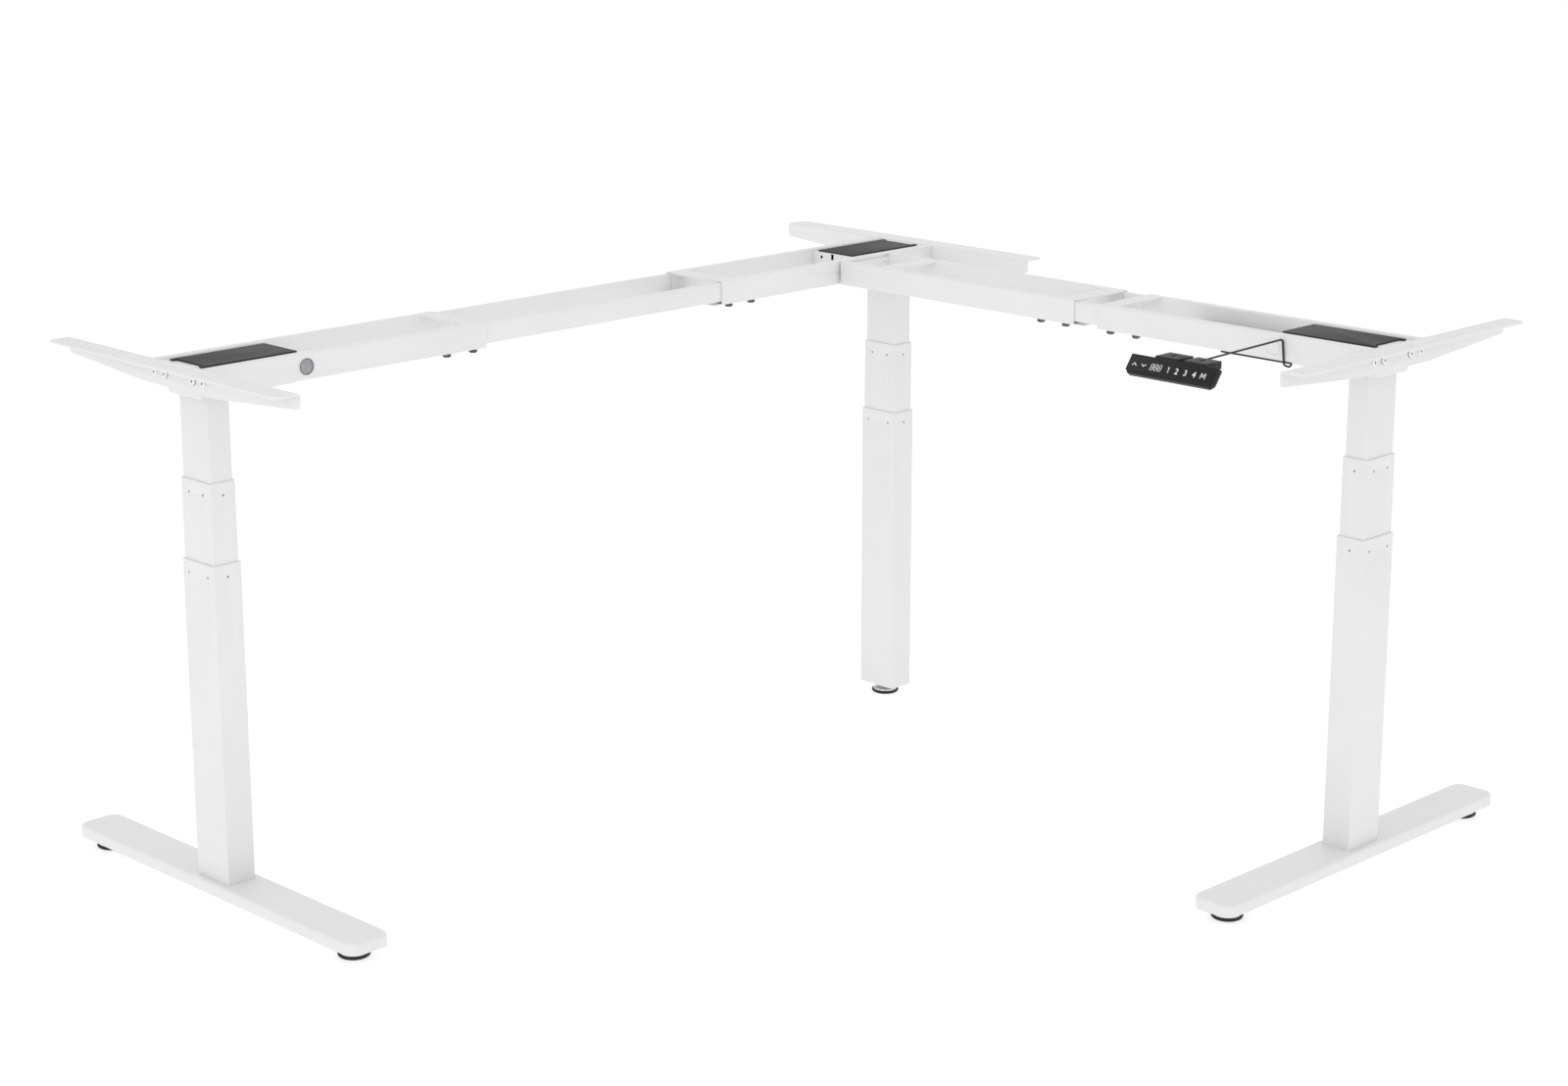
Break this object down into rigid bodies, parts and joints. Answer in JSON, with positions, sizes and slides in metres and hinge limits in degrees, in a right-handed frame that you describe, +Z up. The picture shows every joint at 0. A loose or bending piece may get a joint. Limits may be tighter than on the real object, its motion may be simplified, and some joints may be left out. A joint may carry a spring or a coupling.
{
  "type": "height adjustable standing desk frame",
  "caption": "Corner height adjustable desk frame: three telescoping lifting columns on low feet carry two extending rail arms, with worktop brackets, a handset and control box",
  "frame": {"origin": "centre of the footprint bounding box, on the floor", "axes": "+Z up; the main arm runs along X with the corner column towards +X; the return arm runs along Y towards -Y"},
  "size_m": [1.7772, 1.5652, 0.8392],
  "materials": {
    "white_powder": "semi-matte powder coat",
    "cover_grey": "matte powder coat",
    "liner_plastic": "moulded",
    "motor_steel": "machined",
    "spindle_steel": "rolled thread",
    "raw_steel": "raw",
    "chrome_bolt": "bright plated",
    "white_bolt": "white coated",
    "glide_chrome": "bright cup with a rubber ring",
    "plug_metal": "satin",
    "handset_grey": "fine texture",
    "handset_face": "smooth",
    "cable_black": "satin",
    "control_case": "moulded"
  },
  "bodies": {
    "corner_base": {"corner_outer_tube": "white_powder", "corner_outer_liner": "liner_plastic", "corner_nut_tube": "raw_steel"},
    "corner_glide": {"corner_glide": "glide_chrome"},
    "corner_mid": {"corner_mid_tube": "white_powder", "corner_mid_liner": "liner_plastic"},
    "corner_lower_screw": {"corner_lower_screw": "spindle_steel"},
    "corner_upper_screw": {"corner_upper_screw": "spindle_steel"},
    "corner_top": {"corner_inner_tube": "white_powder", "corner_gear_motor": "motor_steel", "corner_motor_box": "white_powder", "corner_motor_cover": "cover_grey", "corner_bracket": "white_powder", "corner_bracket_bolts": "white_bolt", "corner_head_frame": "white_powder", "corner_clamp_bolts": "chrome_bolt", "return_corner_frame": "white_powder"},
    "main_rails": {"main_mid_rails": "white_powder"},
    "return_rails": {"return_mid_rails": "white_powder"},
    "left_head": {"left_inner_tube": "white_powder", "left_gear_motor": "motor_steel", "left_motor_box": "white_powder", "left_motor_cover": "cover_grey", "left_bracket": "white_powder", "left_bracket_bolts": "white_bolt", "left_head_frame": "white_powder", "left_clamp_bolts": "chrome_bolt", "left_plug": "plug_metal"},
    "left_mid": {"left_mid_tube": "white_powder", "left_mid_liner": "liner_plastic"},
    "left_base": {"left_outer_tube": "white_powder", "left_outer_liner": "liner_plastic", "left_nut_tube": "raw_steel", "left_foot": "white_powder"},
    "left_lower_screw": {"left_lower_screw": "spindle_steel"},
    "left_upper_screw": {"left_upper_screw": "spindle_steel"},
    "left_glide_a": {"left_glide_a": "glide_chrome"},
    "left_glide_b": {"left_glide_b": "glide_chrome"},
    "right_head": {"right_inner_tube": "white_powder", "right_gear_motor": "motor_steel", "right_motor_box": "white_powder", "right_motor_cover": "cover_grey", "right_bracket": "white_powder", "right_bracket_bolts": "white_bolt", "right_head_frame": "white_powder", "right_clamp_bolts": "chrome_bolt", "handset_case": "handset_grey", "handset_panel": "handset_face", "handset_cable": "cable_black", "control_box": "control_case"},
    "right_mid": {"right_mid_tube": "white_powder", "right_mid_liner": "liner_plastic"},
    "right_base": {"right_outer_tube": "white_powder", "right_outer_liner": "liner_plastic", "right_nut_tube": "raw_steel", "right_foot": "white_powder"},
    "right_lower_screw": {"right_lower_screw": "spindle_steel"},
    "right_upper_screw": {"right_upper_screw": "spindle_steel"},
    "right_glide_a": {"right_glide_a": "glide_chrome"},
    "right_glide_b": {"right_glide_b": "glide_chrome"}
  },
  "joints": [
    {"name": "corner_lift", "type": "slide", "parent": "corner_base", "child": "corner_mid", "axis": [0, 0, 1], "range_m": [-0.117, 0.208]},
    {"name": "corner_lift_upper", "type": "slide", "parent": "corner_mid", "child": "corner_top", "axis": [0, 0, 1], "range_m": [-0.118, 0.209]},
    {"name": "main_rail_slide", "type": "slide", "parent": "corner_top", "child": "main_rails", "axis": [-1, 0, 0], "range_m": [-0.22, 0.02]},
    {"name": "left_head_slide", "type": "slide", "parent": "main_rails", "child": "left_head", "axis": [-1, 0, 0], "range_m": [-0.22, 0.02]},
    {"name": "return_rail_slide", "type": "slide", "parent": "corner_top", "child": "return_rails", "axis": [0, -1, 0], "range_m": [-0.014, 0.11]},
    {"name": "right_head_slide", "type": "slide", "parent": "return_rails", "child": "right_head", "axis": [0, -1, 0], "range_m": [-0.014, 0.11]},
    {"name": "left_lift_upper", "type": "slide", "parent": "left_head", "child": "left_mid", "axis": [0, 0, -1], "range_m": [-0.118, 0.209]},
    {"name": "left_lift", "type": "slide", "parent": "left_mid", "child": "left_base", "axis": [0, 0, -1], "range_m": [-0.118, 0.209]},
    {"name": "right_lift_upper", "type": "slide", "parent": "right_head", "child": "right_mid", "axis": [0, 0, -1], "range_m": [-0.118, 0.209]},
    {"name": "right_lift", "type": "slide", "parent": "right_mid", "child": "right_base", "axis": [0, 0, -1], "range_m": [-0.118, 0.209]},
    {"name": "left_lower_screw_turn", "type": "hinge", "parent": "left_mid", "child": "left_lower_screw", "pos_m": [-0.8084, 0.4226, 0.4], "axis": [0, 0, 1], "range_deg": [-5266, 9361]},
    {"name": "left_upper_screw_turn", "type": "hinge", "parent": "left_head", "child": "left_upper_screw", "pos_m": [-0.8084, 0.4226, 0.6], "axis": [0, 0, 1], "range_deg": [-5266, 9361]},
    {"name": "corner_lower_screw_turn", "type": "hinge", "parent": "corner_mid", "child": "corner_lower_screw", "pos_m": [0.6616, 0.4226, 0.4], "axis": [0, 0, 1], "range_deg": [-5266, 9361]},
    {"name": "corner_upper_screw_turn", "type": "hinge", "parent": "corner_top", "child": "corner_upper_screw", "pos_m": [0.6616, 0.4226, 0.6], "axis": [0, 0, 1], "range_deg": [-5266, 9361]},
    {"name": "right_lower_screw_turn", "type": "hinge", "parent": "right_mid", "child": "right_lower_screw", "pos_m": [0.5286, -0.7024, 0.4], "axis": [0, 0, 1], "range_deg": [-5266, 9361]},
    {"name": "right_upper_screw_turn", "type": "hinge", "parent": "right_head", "child": "right_upper_screw", "pos_m": [0.5286, -0.7024, 0.6], "axis": [0, 0, 1], "range_deg": [-5266, 9361]},
    {"name": "corner_glide_screw", "type": "slide", "parent": "corner_base", "child": "corner_glide", "axis": [0, 0, -1], "range_m": [-0.003, 0.01]},
    {"name": "left_glide_a_screw", "type": "slide", "parent": "left_base", "child": "left_glide_a", "axis": [0, 0, -1], "range_m": [-0.003, 0.01]},
    {"name": "left_glide_b_screw", "type": "slide", "parent": "left_base", "child": "left_glide_b", "axis": [0, 0, -1], "range_m": [-0.003, 0.01]},
    {"name": "right_glide_a_screw", "type": "slide", "parent": "right_base", "child": "right_glide_a", "axis": [0, 0, -1], "range_m": [-0.003, 0.01]},
    {"name": "right_glide_b_screw", "type": "slide", "parent": "right_base", "child": "right_glide_b", "axis": [0, 0, -1], "range_m": [-0.003, 0.01]}
  ],
  "couplings": [
    {"joint": "corner_lift_upper", "follows": "corner_lift", "ratio": 1},
    {"joint": "left_lift_upper", "follows": "corner_lift", "ratio": 1},
    {"joint": "left_lift", "follows": "corner_lift", "ratio": 1},
    {"joint": "right_lift_upper", "follows": "corner_lift", "ratio": 1},
    {"joint": "right_lift", "follows": "corner_lift", "ratio": 1},
    {"joint": "left_lower_screw_turn", "follows": "corner_lift", "rad_per_m": 785.4},
    {"joint": "left_upper_screw_turn", "follows": "corner_lift", "rad_per_m": 785.4},
    {"joint": "corner_lower_screw_turn", "follows": "corner_lift", "rad_per_m": 785.4},
    {"joint": "corner_upper_screw_turn", "follows": "corner_lift", "rad_per_m": 785.4},
    {"joint": "right_lower_screw_turn", "follows": "corner_lift", "rad_per_m": 785.4},
    {"joint": "right_upper_screw_turn", "follows": "corner_lift", "rad_per_m": 785.4}
  ]
}
